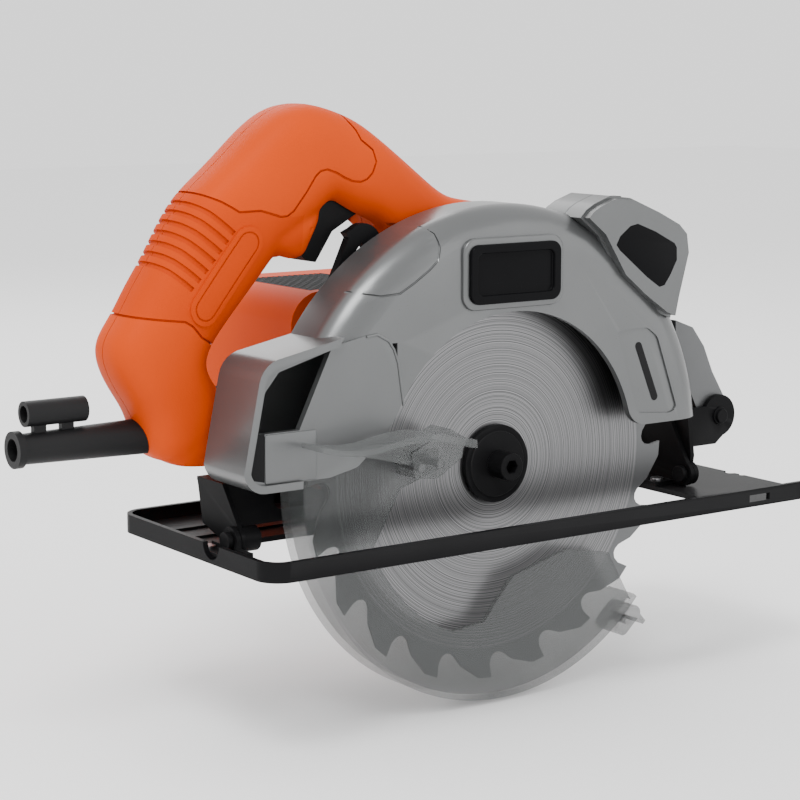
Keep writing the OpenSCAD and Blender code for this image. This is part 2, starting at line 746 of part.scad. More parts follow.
module guard_spring() {
  wire = 0.6;
  $fn = 32;
  color([0.55, 0.56, 0.58]) at_arbor() {
    for (i = [0 : 1]) yspin(0, 360) translate([nose_r + 2.2, -9.7 - 1.1 * i]) circle(wire);
    translate([0, 9.7, nose_r + 2.2]) cylinder(r = wire, h = 12);
    translate([0, 10.8, -nose_r - 12]) cylinder(r = wire, h = 10);
  }
}
module guard_retainer() {
  color([0.60, 0.60, 0.62]) at_arbor() yring(22.4, nose_r, 5.25, 5.45);
}

// ---- spindle ----
bolt_r = 4;
flange_r = 16.3;
function tooth(a) = [
  polar(blade_r, a), polar(blade_r - 5.6, a - 0.75), polar(blade_r - 8.7, a - 0.3),
  polar(blade_r - 10.3, a + 0.8), polar(blade_r - 10.7, a + 2.2), polar(blade_r - 10, a + 3.8),
  polar(blade_r - 5.4, a + 7.4), polar(blade_r - 0.3, a + 360 / teeth - 4.1)
];
module blade() {
  color([0.76, 0.77, 0.78]) at_arbor() difference() {
    yplate(-blade_t / 2, blade_t / 2) polygon([for (k = [0 : teeth - 1]) each tooth(215.9 + 360 * k / teeth)]);
    yrod(bore_d / 2, -5, 5);
  }
}
module inner_flange() {
  color([0.30, 0.30, 0.31]) at_arbor() yring(18.8, bore_d / 2, blade_t / 2, 4.4);
}
module outer_flange() {
  color([0.05, 0.05, 0.06]) at_arbor() difference() {
    union() {
      yrod(flange_r, -3, -blade_t / 2);
      yrod(flange_r - 2.6, -3.6, -2.9);
    }
    yrod(bolt_r, -9, 1);
  }
}
module arbor_bolt() {
  color([0.05, 0.05, 0.06]) at_arbor() difference() {
    union() {
      yrod(bolt_r, -3.6, 14);
      yrod(5.7, -13, -3.6);
    }
    translate([0, -14, 0]) rotate([-90, 0, 0]) cylinder(r = 2.9, h = 6, $fn = 6);
  }
}
module spindle() {
  color([0.66, 0.66, 0.68]) at_arbor() difference() {
    union() {
      yrod(bore_d / 2, -0.4, 4.4);
      yrod(9.5, 4.4, 6);
      yrod(7.5, 6, 31.3);
      yrod(5, 31.3, 35.6);
    }
    yrod(bolt_r, -2, 14.2);
    translate([0, lock_y, 0]) xrod(lock_r + 0.2, -10, 10);
  }
}
// Straight-flanked gear outline with play between the flanks.
function gear(z, m, turn) = [for (k = [0 : z - 1])
  let (p = 360 / z, a = k * p + turn, r = m * z / 2)
  each [
    polar(r - 1.15 * m, a - 0.30 * p), polar(r, a - 0.20 * p), polar(r + 0.8 * m, a - 0.07 * p),
    polar(r + 0.8 * m, a + 0.07 * p), polar(r, a + 0.20 * p), polar(r - 1.15 * m, a + 0.30 * p)
  ]];
module spindle_gear() {
  color([0.58, 0.55, 0.50]) at_arbor() difference() {
    yplate(20, 29) polygon(gear(wheel_teeth, gear_m, motor_angle));
    yrod(7.5, 10, 40);
    for (a = [0 : 60 : 300]) rotate([0, a, 0]) translate([12, 0, 0]) yrod(2.2, 10, 40);
  }
}
// A ball bearing about the current centre: rings, balls and a gap between them.
module bearing(bore, r, y0, y1) {
  mid = (bore + r) / 2;
  ball = (r - bore) * 0.26;
  yc = (y0 + y1) / 2;
  race = ball + 0.08;
  difference() {
    union() {
      yring(r, mid + ball * 0.55, y0, y1);
      yring(mid - ball * 0.55, bore, y0, y1);
    }
    yspin(0, 360) translate([mid, -yc]) circle(race);
  }
  for (i = [0 : 7]) rotate([0, i * 45, 0]) translate([mid, yc, 0]) sphere(ball, $fn = 32);
}
module spindle_front_bearing() {
  color([0.68, 0.68, 0.70]) at_arbor() bearing(7.5 + run, 16, 6.2, 15.2);
}
module spindle_rear_bush() {
  color([0.70, 0.55, 0.28]) at_arbor() yring(8, 5 + run, case_back - 5, case_back - 1);
}
lock_travel = 2.5;
module spindle_lock() {
  color([0.08, 0.08, 0.09]) at_arbor() translate([0, lock_y, 0]) {
    xrod(lock_r, 8.1, case_r + 3);
    xrod(3.2, case_r + lock_travel + 0.4, case_r + 9);
  }
}

// ---- motor ----
shaft_r = 4;
module armature_shaft() {
  color([0.64, 0.64, 0.66]) at_motor() {
    yrod(shaft_r, 30.5, 110);
    yplate(19.5, 30.5) polygon(gear(pinion_teeth, gear_m, motor_angle + 180 / pinion_teeth + 180));
  }
}
module armature_core() {
  color([0.35, 0.35, 0.37]) at_motor() difference() {
    yrod(21, 53, 79);
    yrod(shaft_r, 40, 90);
    for (a = [0 : 30 : 330]) rotate([0, a, 0]) translate([20.4, 66, 0]) cube([3, 30, 1.6], center = true);
  }
}
module armature_windings() {
  color([0.72, 0.40, 0.18]) at_motor() {
    yring(18, shaft_r + 1, 48, 53);
    yring(17, shaft_r + 1, 79, 85);
  }
}
module commutator() {
  color([0.75, 0.45, 0.22]) at_motor() difference() {
    yring(11, shaft_r, 87, 99);
    for (a = [0 : 20 : 340]) rotate([0, a, 0]) translate([11, 93.5, 0]) cube([2, 12, 0.5], center = true);
  }
}
module cooling_fan() {
  color([0.12, 0.12, 0.13]) at_motor() {
    yring(30, 12, 40, 41.5);
    yring(12.2, shaft_r, 40, 46);
    for (a = [0 : 24 : 336]) rotate([0, a, 0]) translate([12, 41.4, -0.6]) cube([17, 4.6, 1.2]);
  }
}
module armature_front_bearing() {
  color([0.68, 0.68, 0.70]) at_motor() bearing(shaft_r + run, 11, case_back - 5, case_back + 1);
}
module armature_rear_bearing() {
  color([0.68, 0.68, 0.70]) at_motor() bearing(shaft_r + run, 11, 102, 109);
}
module field_stator() {
  color([0.42, 0.40, 0.38]) at_motor() {
    difference() {
      yring(31, 21.6, 52, 80);
      for (a = [90, 270]) rotate([0, a, 0]) translate([24, 66, 0]) cube([7, 30, 16], center = true);
    }
  }
}
module fan_baffle() {
  color([0.10, 0.10, 0.11]) at_motor() yring(31.5, 20, 48.3, 50.5);
}

// ---- motor housing ----
housing_front = case_back;
housing_back = 112;
housing_r = 36.5;
housing = concat(
  arc([motor_x, motor_z], housing_r, -90, 20, 12),
  [[motor_x + 33, motor_z + 24]],
  arc([14, arbor_h + 60], 12, 20, 90, 4),
  arc([-61, arbor_h + 58], 14, 90, 175, 5),
  arc([-58, arbor_h + 12], 17, 183, 250, 5),
  arc([-44, arbor_h - 1], 15, 240, 262, 2)
);
vent_x0 = -62;
vent_x1 = -20;
vent_y0 = 42;
vent_y1 = 98;
module motor_housing() {
  color([0.95, 0.36, 0.09]) difference() {
    yplate(housing_front, housing_back) polygon(housing);
    yplate(housing_front + 2.5, housing_back - 2.5) polygon(inset(housing, shell_wall));
    at_motor() yrod(31.7, housing_front - 1, housing_front + 5);
    at_motor() yrod(14, housing_back - 5, housing_back + 1);
    translate([vent_x0, vent_y0, arbor_h + 60]) cube([vent_x1 - vent_x0, vent_y1 - vent_y0, 20]);
    translate([motor_x, 93, motor_z]) xrod(7, -100, 60);
    for (p = case_screw_at) translate([motor_x + p[0], 0, motor_z + p[1]]) yrod(2, 30, 60);
    for (a = [40, 150, 210, 320]) at_motor() rotate([0, a, 0]) translate([20.5, 0, 0]) yrod(2.6, 100, 120);
  }
}
module motor_end_cap() {
  color([0.10, 0.10, 0.11]) at_motor() {
    difference() {
      yrod(30, housing_back, housing_back + 7);
      yrod(26, housing_back - 0.5, housing_back + 4.5);
      for (z = [-20 : 5 : 20]) translate([0, housing_back + 5, z])
        cube([2 * sqrt(576 - z * z), 12, 2.2], center = true);
    }
    yring(14, 11, 101, housing_back + 4.6);
  }
}
module vent_grille() {
  color([0.13, 0.13, 0.14]) difference() {
    translate([vent_x0 + 0.1, vent_y0 + 0.1, arbor_h + 69.5])
      cube([vent_x1 - vent_x0 - 0.2, vent_y1 - vent_y0 - 0.2, 2.5]);
    for (x = [vent_x0 + 4 : 5.2 : vent_x1 - 4]) translate([x, vent_y0 + 3, arbor_h + 60])
      cube([3, vent_y1 - vent_y0 - 6, 20]);
  }
}
module brush_holders() {
  color([0.72, 0.58, 0.30]) translate([motor_x, 93, motor_z]) for (s = [0, 1]) mirror([s, 0, 0]) difference() {
    translate([12, -4.5, -6]) cube([18, 9, 12]);
    translate([11, -3.2, -4.7]) cube([20, 6.4, 9.4]);
  }
}
module carbon_brushes() {
  color([0.16, 0.16, 0.17]) translate([motor_x, 93, motor_z]) for (s = [0, 1]) mirror([s, 0, 0])
    translate([11.3, -3, -4.5]) cube([14, 6, 9]);
}
module brush_caps() {
  color([0.08, 0.08, 0.09]) {
    translate([0, 93, motor_z]) xrod(7 - 0.1, -76.4, -72);
    translate([0, 93, motor_z]) xrod(7 - 0.1, motor_x + 33.6, motor_x + 37);
  }
}

// ---- handle ----
cord_z = arbor_h + 21;
grip = [
  [-64, arbor_h + 5], [-64, arbor_h + 26], [-98, arbor_h + 31], [-112, arbor_h + 35],
  [-119, arbor_h + 41], [-121.5, arbor_h + 48], [-117, arbor_h + 56.5], [-97.3, arbor_h + 78],
  [-88, arbor_h + 88.5], [-83, arbor_h + 87.5], [-77, arbor_h + 85], [-71, arbor_h + 86],
  [-67, arbor_h + 94], [-61, arbor_h + 104.5], [-56, arbor_h + 106.5], [-48, arbor_h + 101.5],
  [-42, arbor_h + 100.5], [-34, arbor_h + 94], [-26, arbor_h + 73], [30, arbor_h + 73],
  [37, arbor_h + 96], [32, arbor_h + 105], [4, arbor_h + 107], [-3.5, arbor_h + 108.5],
  [-16.5, arbor_h + 118], [-45.8, arbor_h + 139.5], [-55, arbor_h + 144], [-67, arbor_h + 147.6],
  [-75, arbor_h + 148.6], [-86, arbor_h + 146.5], [-98, arbor_h + 137.5], [-117.6, arbor_h + 120.2],
  [-126, arbor_h + 113.5], [-134, arbor_h + 103], [-140.7, arbor_h + 90], [-149, arbor_h + 79],
  [-155, arbor_h + 68], [-161.5, arbor_h + 59.5], [-163, arbor_h + 55.5], [-160.4, arbor_h + 46.8],
  [-155, arbor_h + 37.5], [-148, arbor_h + 29], [-146.5, arbor_h + 13], [-139, arbor_h + 8],
  [-116, arbor_h + 6]
];
trigger_pivot = [-52, arbor_h + 108];
handle_screw_at = [[-135, 36], [-122, 82], [-78, 127], [-12, 98], [-84, 18]];
module strap_channel() {
  yplate(0, lever_y + 0.2) translate([pivot_x, pivot_z]) sector(strap_r - 8, strap_r + 8, 140, 186);
}
module trigger_pocket() {
  yplate(handle_y - 8.6, handle_y + 8.6) polygon([
    [-42, arbor_h + 98], [-45, arbor_h + 112], [-60, arbor_h + 116], [-92, arbor_h + 96],
    [-84, arbor_h + 84], [-73, arbor_h + 82]
  ]);
}
// One half of the handle, from the parting plane outwards; side is -1 for the blade side.
module handle_half_shell(side) {
  h = handle_half;
  difference() {
    translate([0, handle_y, 0]) mirror([0, side < 0 ? 1 : 0, 0]) difference() {
      union() {
        yplate(0, h - 7) polygon(grip);
        yplate(h - 7.1, h - 3) polygon(inset(grip, 2));
        yplate(h - 3.1, h) polygon(inset(grip, 5));
      }
      difference() {
        union() {
          yplate(-1, h - 8) polygon(inset(grip, shell_wall));
          yplate(h - 9, h - 3 - shell_wall / 2) polygon(inset(grip, shell_wall + 2));
        }
        for (p = handle_screw_at) translate([p[0], 0, arbor_h + p[1]]) yrod(3.8, -2, h);
      }
    }
    trigger_pocket();
    translate([trigger_pivot[0], 0, trigger_pivot[1]]) yrod(1.5, handle_y - 10, handle_y + 10);
    translate([0, handle_y, cord_z]) xrod(7.3, -170, -130);
    for (p = handle_screw_at) translate([p[0], 0, arbor_h + p[1]]) {
      yrod(1.6, handle_y - 8, handle_y + h + 1);
      yrod(3.6, handle_y + h - 3, handle_y + h + 1);
    }
  }
}
module handle_shell_right() {
  color([0.96, 0.38, 0.10]) difference() {
    handle_half_shell(-1);
    strap_channel();
    translate([-75, 0, leg_z]) cube([120, lever_y + lever_t + 0.8, 88.5]);
  }
}
module handle_shell_left() {
  color([0.96, 0.38, 0.10]) difference() {
    handle_half_shell(1);
    yplate(housing_front - 1, 60) polygon(inset(housing, -0.2));
    yplate(handle_y - 1, case_back + 0.2) translate([motor_x, motor_z]) circle(33.4);
  }
}
module handle_screws() {
  color([0.25, 0.25, 0.26]) for (p = handle_screw_at) translate([p[0], 0, arbor_h + p[1]]) {
    yrod(1.6, handle_y - 8, handle_y + handle_half - 2.9);
    yrod(3.5, handle_y + handle_half - 3, handle_y + handle_half - 0.6);
  }
}
module grip_pad() {
  color([0.86, 0.28, 0.10]) translate([-116, 0, arbor_h + 82.8]) rotate([0, -52, 0])
    yplate(handle_y - handle_half - 0.9, handle_y - handle_half) round_rect(44, 13, 6.4);
}
module trigger() {
  color([0.10, 0.10, 0.11]) difference() {
    yplate(handle_y - 8, handle_y + 8) polygon([
      [-50, arbor_h + 103.5], [-48.5, arbor_h + 107], [-56, arbor_h + 111.5], [-66, arbor_h + 108],
      [-74, arbor_h + 96], [-77, arbor_h + 88.5], [-74, arbor_h + 86], [-69.5, arbor_h + 85],
      [-61.5, arbor_h + 97]
    ]);
    translate([trigger_pivot[0], 0, trigger_pivot[1]]) yrod(1.5 + run, 0, 80);
  }
}
module switch_body() {
  color([0.15, 0.15, 0.16]) {
    translate([-95, handle_y, arbor_h + 113]) rotate([0, 38, 0]) cube([26, 15, 18], center = true);
    translate([trigger_pivot[0], 0, trigger_pivot[1]]) yrod(1.5, handle_y - 10, handle_y + 10);
  }
}
module cord_guard() {
  root = -137;
  tip = root - cord_guard_l - 8;
  wrench_z = cord_z + 13.2;
  color([0.06, 0.06, 0.07]) difference() {
    union() {
      translate([root, handle_y, cord_z]) rotate([0, -90, 0]) cylinder(r1 = 7.2, r2 = 5.8, h = root - tip);
      translate([0, handle_y, cord_z]) xrod(7.1, tip, tip + 3);
      translate([0, handle_y, wrench_z]) xrod(4.9, tip + 5, tip + 30);
      for (x = [tip + 8.5, tip + 20]) translate([x, handle_y - 1.5, cord_z]) cube([5, 3, 10]);
      translate([0, handle_y, cord_z]) xrod(9.5, root - 0.2, root + 3);
    }
    translate([0, handle_y, cord_z]) xrod(cord_bore_d / 2, tip - 1, root + 10);
    translate([0, handle_y, wrench_z]) xrod(wrench_bore_d / 2, tip, tip + 40);
  }
}

shoe();
front_quadrant();
rear_hinge_lug();
shoe_rivets();
front_bracket();
rear_depth_bracket();
bevel_pins();
bevel_lock_bolt();
bevel_knob();
depth_pivot_pin();
depth_bolt();
depth_nut();
depth_lever();
upper_guard();
badge_plate();
guard_screws();
gear_case();
gear_case_screws();
laser_housing_front();
laser_housing_rear();
laser_label();
laser_module();
laser_switch();
lower_guard();
guard_lever();
guard_bumper();
guard_lever_screws();
guard_spring();
guard_retainer();
blade();
inner_flange();
outer_flange();
arbor_bolt();
spindle();
spindle_gear();
spindle_front_bearing();
spindle_rear_bush();
spindle_lock();
armature_shaft();
armature_core();
armature_windings();
commutator();
cooling_fan();
armature_front_bearing();
armature_rear_bearing();
field_stator();
fan_baffle();
motor_housing();
motor_end_cap();
vent_grille();
brush_holders();
carbon_brushes();
brush_caps();
handle_shell_right();
handle_shell_left();
handle_screws();
grip_pad();
trigger();
switch_body();
cord_guard();
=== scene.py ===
# %% [markdown]
# # Finishing a circular saw
#
# The saw's frame, guards, drive and joints are already designed and packed. This lesson gives it the
# looks of the real thing: cast and painted guards, a brushed blade, a smoky clear guard and a moulded
# handle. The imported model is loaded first, and nothing in it is ever moved.

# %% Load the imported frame
import json
import math

import bmesh
import bpy
import numpy as np
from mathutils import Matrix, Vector


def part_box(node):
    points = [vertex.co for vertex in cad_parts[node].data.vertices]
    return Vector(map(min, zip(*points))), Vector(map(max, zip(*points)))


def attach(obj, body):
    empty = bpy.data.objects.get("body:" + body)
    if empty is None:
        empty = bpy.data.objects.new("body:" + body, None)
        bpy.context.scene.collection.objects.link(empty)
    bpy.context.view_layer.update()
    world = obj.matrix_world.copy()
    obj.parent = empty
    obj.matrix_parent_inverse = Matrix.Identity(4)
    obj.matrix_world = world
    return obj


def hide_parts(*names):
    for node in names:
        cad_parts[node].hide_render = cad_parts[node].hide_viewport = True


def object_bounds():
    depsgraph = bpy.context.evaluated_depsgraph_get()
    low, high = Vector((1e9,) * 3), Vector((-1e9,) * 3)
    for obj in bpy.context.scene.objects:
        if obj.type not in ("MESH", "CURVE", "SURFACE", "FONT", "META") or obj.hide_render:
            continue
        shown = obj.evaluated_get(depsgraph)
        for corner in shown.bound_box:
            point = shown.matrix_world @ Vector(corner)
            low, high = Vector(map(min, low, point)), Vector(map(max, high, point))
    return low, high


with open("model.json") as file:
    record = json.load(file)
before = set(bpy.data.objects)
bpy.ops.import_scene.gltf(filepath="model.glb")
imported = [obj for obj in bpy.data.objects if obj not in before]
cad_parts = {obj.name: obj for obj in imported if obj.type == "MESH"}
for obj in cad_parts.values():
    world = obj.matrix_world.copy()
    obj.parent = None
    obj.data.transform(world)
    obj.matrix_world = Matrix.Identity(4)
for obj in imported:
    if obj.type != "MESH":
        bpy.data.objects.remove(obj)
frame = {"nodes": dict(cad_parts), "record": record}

cad_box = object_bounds()
MM = 0.001

# %% [markdown]
# ## Where things are
#
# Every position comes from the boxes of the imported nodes. The blade's box gives the arbor, and from
# there the outlines below are written the way a maker would dimension them, across and above the arbor.

# %% Datums
def middle(node):
    low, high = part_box(node)
    return (low + high) / 2


ARBOR = middle("blade")
print("arbor at", [round(c / MM, 1) for c in ARBOR], "mm")


def at(x, z, y=0.0):
    """A point x mm ahead of the arbor, z mm above it and y mm to the motor side of the cut."""
    return Vector((ARBOR.x + x * MM, y * MM, ARBOR.z + z * MM))


# %% [markdown]
# ## Camera, floor and light
#
# A long lens flattens the perspective, as on a catalogue picture of a tool. Three big soft lights and a
# white room keep every shadow open. The floor is only a stage and does not belong to the saw.

# %% Camera
EYE = Vector((-0.53897, -0.69395, 0.19314))
LOOK_AT = Vector((-0.05125, 0.0, 0.05597))
camera = bpy.data.objects.new("camera", bpy.data.cameras.new("camera"))
bpy.context.scene.collection.objects.link(camera)
camera.location = EYE
camera.rotation_euler = (LOOK_AT - EYE).to_track_quat("-Z", "Y").to_euler()
camera.data.sensor_width = 36
camera.data.lens = 96.84
camera.data.shift_x = 0.0104
camera.data.shift_y = 0.0031
camera.data.clip_start = 0.01
bpy.context.scene.camera = camera
print("camera looks from", [round(c, 3) for c in EYE])


# %% Lights and floor
def soft_light(name, place, size, power):
    lamp = bpy.data.objects.new(name, bpy.data.lights.new(name, "AREA"))
    bpy.context.scene.collection.objects.link(lamp)
    lamp.data.shape = "SQUARE"
    lamp.data.size = size
    lamp.data.energy = power
    lamp.location = place
    lamp.rotation_euler = (Vector((0, 0, 0.08)) - Vector(place)).to_track_quat("-Z", "Y").to_euler()
    return lamp


soft_light("key_light", (-0.7, -0.6, 1.4), 0.6, 20)
soft_light("fill_light", (1.0, -1.1, 0.5), 1.2, 5)
soft_light("rim_light", (0.2, 1.2, 1.0), 1.0, 8)

world = bpy.data.worlds.new("studio")
bpy.context.scene.world = world
world.use_nodes = True
world.node_tree.nodes["Background"].inputs["Color"].default_value = (1.0, 1.0, 1.0, 1)
world.node_tree.nodes["Background"].inputs["Strength"].default_value = 1.45

floor_mesh = bmesh.new()
bmesh.ops.create_grid(floor_mesh, x_segments=1, y_segments=1, size=4.0)
bmesh.ops.translate(floor_mesh, verts=floor_mesh.verts, vec=(0, 0, cad_box[0][2] - 0.002))
floor_data = bpy.data.meshes.new("floor")
floor_mesh.to_mesh(floor_data)
floor_mesh.free()
floor = bpy.data.objects.new("floor", floor_data)
bpy.context.scene.collection.objects.link(floor)
print("floor at", round(cad_box[0][2], 4), "m")

# %% [markdown]
# ## Finishes
#
# One function makes a surface from a principled shader, a fine noise for the grain of the mould or the
# paint, a wide noise for uneven colour, and paler worn edges. Constants sit on the shader's own sockets,
# so that the finish survives an export.

# %% A finish from noise
def shader_of(material):
    return material.node_tree.nodes["Principled BSDF"]


def finish(name, colour, rough, metal=0.0, grain=900, bump=0.15, vary=0.12, wear=0.0, coat=0.0,
           shine=0.5):
    """A material: grain is the noise's scale per metre, bump its strength, vary the spread of colour."""
    m = bpy.data.materials.new(name)
    m.use_nodes = True
    nodes, links = m.node_tree.nodes, m.node_tree.links
    shader = shader_of(m)
    shader.inputs["Metallic"].default_value = metal
    shader.inputs["Coat Weight"].default_value = coat
    shader.inputs["Specular IOR Level"].default_value = shine
    shader.inputs["Coat Roughness"].default_value = 0.12
    place = nodes.new("ShaderNodeTexCoord")
    fine = nodes.new("ShaderNodeTexNoise")
    fine.inputs["Scale"].default_value = grain
    fine.inputs["Detail"].default_value = 3
    wide = nodes.new("ShaderNodeTexNoise")
    wide.inputs["Scale"].default_value = 26
    wide.inputs["Detail"].default_value = 4
    for noise in (fine, wide):
        links.new(place.outputs["Object"], noise.inputs["Vector"])
    ramp = nodes.new("ShaderNodeValToRGB")
    ramp.color_ramp.elements[0].position = 0.3
    ramp.color_ramp.elements[1].position = 0.7
    ramp.color_ramp.elements[0].color = (*[c * (1 - vary) for c in colour], 1)
    ramp.color_ramp.elements[1].color = (*[min(1, c * (1 + vary)) for c in colour], 1)
    links.new(wide.outputs["Fac"], ramp.inputs["Fac"])
    tint = ramp.outputs["Color"]
    if wear:
        edge = nodes.new("ShaderNodeNewGeometry")
        worn = nodes.new("ShaderNodeValToRGB")
        worn.color_ramp.elements[0].position = 0.52
        worn.color_ramp.elements[1].position = 0.60
        worn.color_ramp.elements[0].color = (0, 0, 0, 1)
        worn.color_ramp.elements[1].color = (wear, wear, wear, 1)
        links.new(edge.outputs["Pointiness"], worn.inputs["Fac"])
        mix = nodes.new("ShaderNodeMix")
        mix.data_type = "RGBA"
        mix.inputs["B"].default_value = (*[min(1, c * 1.5 + 0.06) for c in colour], 1)
        links.new(worn.outputs["Color"], mix.inputs["Factor"])
        links.new(tint, mix.inputs["A"])
        tint = mix.outputs["Result"]
    links.new(tint, shader.inputs["Base Color"])
    rough_map = nodes.new("ShaderNodeMapRange")
    rough_map.inputs["To Min"].default_value = max(0.02, rough - 0.06)
    rough_map.inputs["To Max"].default_value = min(1.0, rough + 0.06)
    links.new(fine.outputs["Fac"], rough_map.inputs["Value"])
    links.new(rough_map.outputs["Result"], shader.inputs["Roughness"])
    relief = nodes.new("ShaderNodeBump")
    relief.inputs["Strength"].default_value = bump
    relief.inputs["Distance"].default_value = 0.0002
    links.new(fine.outputs["Fac"], relief.inputs["Height"])
    links.new(relief.outputs["Normal"], shader.inputs["Normal"])
    return m


floor_data.materials.append(finish("pale_floor", (0.95, 0.95, 0.95), 0.9, bump=0.0, vary=0.0))

black_steel = finish("black_coated_steel", (0.0045, 0.0045, 0.005), 0.36, grain=2200, bump=0.25,
                     vary=0.2, wear=0.12, shine=0.04)
zinc = finish("zinc_plate", (0.42, 0.42, 0.43), 0.32, metal=1.0, grain=1500)
guard_paint = finish("guard_paint", (0.110, 0.113, 0.114), 0.30, metal=0.6, grain=3200, bump=0.10,
                     vary=0.05, wear=0.10, coat=0.12)
grey_mould = finish("grey_mould", (0.100, 0.103, 0.104), 0.34, metal=0.55, grain=3000, bump=0.10,
                    vary=0.05, coat=0.1)
cast_metal = finish("cast_metal", (0.10, 0.102, 0.104), 0.40, metal=0.7, grain=1400, bump=0.35)
black_mould = finish("black_mould", (0.0045, 0.0045, 0.005), 0.45, grain=2600, bump=0.35, shine=0.12)
black_rubber = finish("black_rubber", (0.006, 0.006, 0.0065), 0.5, grain=1800, bump=0.2, shine=0.2)
orange_mould = finish("orange_mould", (0.54, 0.050, 0.0), 0.5, grain=2400, bump=0.35, vary=0.03,
                      shine=0.06)
# The grip's overmould is rougher and bumpier, and its slightly darker colour is partly painted shade of the
# grip's lower side.
grip_mould_with_painted_shade = finish("grip_mould_with_painted_shade", (0.50, 0.043, 0.0), 0.58, grain=2400, bump=0.5, vary=0.03, shine=0.05)
gloss_black = finish("gloss_black", (0.004, 0.004, 0.0045), 0.25, grain=600, bump=0.03, shine=0.04)
copper = finish("varnished_copper", (0.48, 0.16, 0.06), 0.35, metal=1.0, grain=1200, bump=0.6)
brass = finish("brass", (0.6, 0.42, 0.16), 0.3, metal=1.0)
iron = finish("lacquered_iron", (0.10, 0.10, 0.105), 0.45, metal=0.8, grain=1600, bump=0.4)
print("made", len(bpy.data.materials), "finishes")

# %% [markdown]
# ## The blade's face
#
# A saw blade is ground on a turning table, so its shine has fine rings about the arbor. The rings are
# waves of the distance from the arbor axis, broken up by noise. Outside the ground disc the plate is
# left a shade darker.

# %% Ground steel
def ground_steel():
    m = bpy.data.materials.new("ground_steel")
    m.use_nodes = True
    nodes, links = m.node_tree.nodes, m.node_tree.links
    shader = shader_of(m)
    shader.inputs["Metallic"].default_value = 1.0
    place = nodes.new("ShaderNodeTexCoord")
    centred = nodes.new("ShaderNodeMapping")
    centred.inputs["Location"].default_value = (-ARBOR.x, 0, -ARBOR.z)
    links.new(place.outputs["Object"], centred.inputs["Vector"])
    flat = nodes.new("ShaderNodeVectorMath")
    flat.operation = "MULTIPLY"
    flat.inputs[1].default_value = (1, 0, 1)
    links.new(centred.outputs["Vector"], flat.inputs[0])
    radius = nodes.new("ShaderNodeVectorMath")
    radius.operation = "LENGTH"
    links.new(flat.outputs["Vector"], radius.inputs[0])
    rings = nodes.new("ShaderNodeTexNoise")
    rings.noise_dimensions = "1D"
    rings.inputs["Scale"].default_value = 2400
    rings.inputs["Detail"].default_value = 4
    links.new(radius.outputs["Value"], rings.inputs["W"])
    zone = nodes.new("ShaderNodeMapRange")
    zone.inputs["From Min"].default_value = 0.0785
    zone.inputs["From Max"].default_value = 0.0792
    links.new(radius.outputs["Value"], zone.inputs["Value"])
    tone = nodes.new("ShaderNodeValToRGB")
    tone.color_ramp.elements[0].position = 0.35
    tone.color_ramp.elements[1].position = 0.65
    tone.color_ramp.elements[0].color = (0.07, 0.07, 0.072, 1)
    tone.color_ramp.elements[1].color = (0.24, 0.24, 0.244, 1)
    links.new(rings.outputs["Fac"], tone.inputs["Fac"])
    mix = nodes.new("ShaderNodeMix")
    mix.data_type = "RGBA"
    mix.inputs["B"].default_value = (0.12, 0.122, 0.124, 1)
    links.new(zone.outputs["Result"], mix.inputs["Factor"])
    links.new(tone.outputs["Color"], mix.inputs["A"])
    links.new(mix.outputs["Result"], shader.inputs["Base Color"])
    gloss = nodes.new("ShaderNodeMapRange")
    gloss.inputs["To Min"].default_value = 0.26
    gloss.inputs["To Max"].default_value = 0.44
    links.new(rings.outputs["Fac"], gloss.inputs["Value"])
    links.new(gloss.outputs["Result"], shader.inputs["Roughness"])
    relief = nodes.new("ShaderNodeBump")
    relief.inputs["Strength"].default_value = 0.35
    relief.inputs["Distance"].default_value = 0.0001
    links.new(rings.outputs["Fac"], relief.inputs["Height"])
    links.new(relief.outputs["Normal"], shader.inputs["Normal"])
    return m


blade_steel = ground_steel()

# %% [markdown]
# ## Smoky clear plastic
#
# The lower guard lets the teeth show through it. Thin walls don't bend light much, so a partly
# transparent surface with a clear gloss does the job and is easy to light.

# %% Smoky plastic
def smoky(name, tint, alpha):
    m = finish(name, tint, 0.16, grain=40, bump=0.0, vary=0.04, shine=0.35)
    shader_of(m).inputs["Alpha"].default_value = alpha
    shader_of(m).inputs["IOR"].default_value = 1.5
    return m


smoke_guard = smoky("smoky_guard", (0.10, 0.105, 0.105), 0.40)
smoke_lever = smoky("smoky_lever", (0.11, 0.115, 0.115), 0.45)

# %% [markdown]
# ## Softening the machined edges
#
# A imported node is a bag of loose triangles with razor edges. A copy is welded, its flat faces are
# joined, and every sharp edge gets a small round, because a real edge always catches a thin highlight.

# %% Welded copies with rounded edges
def piece(name, bm, body, material, smooth=35):
    """An object from a bmesh, at the origin, riding on a body."""
    mesh = bpy.data.meshes.new(name)
    bm.to_mesh(mesh)
    bm.free()
    for p in mesh.polygons:
        p.use_smooth = True
    mesh.set_sharp_from_angle(angle=math.radians(smooth))
    mesh.materials.append(material)
    obj = bpy.data.objects.new(name, mesh)
    bpy.context.scene.collection.objects.link(obj)
    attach(obj, body)
    return obj


def body_with(node):
    groups = frame["record"]["behaviour"]["bodies"]
    return next(b for b, members in groups.items() if node in members)


def held(bm):
    """A short-lived object for a bmesh."""
    mesh = bpy.data.meshes.new("work")
    bm.to_mesh(mesh)
    bm.free()
    obj = bpy.data.objects.new("work", mesh)
    bpy.context.scene.collection.objects.link(obj)
    return obj


def dropped(obj):
    """Removes a short-lived object and its mesh."""
    mesh = obj.data
    bpy.data.objects.remove(obj)
    bpy.data.meshes.remove(mesh)


def baked(obj):
    """The bmesh of a short-lived object after its modifiers."""
    depsgraph = bpy.context.evaluated_depsgraph_get()
    bm = bmesh.new()
    bm.from_mesh(obj.evaluated_get(depsgraph).to_mesh())
    dropped(obj)
    return bm


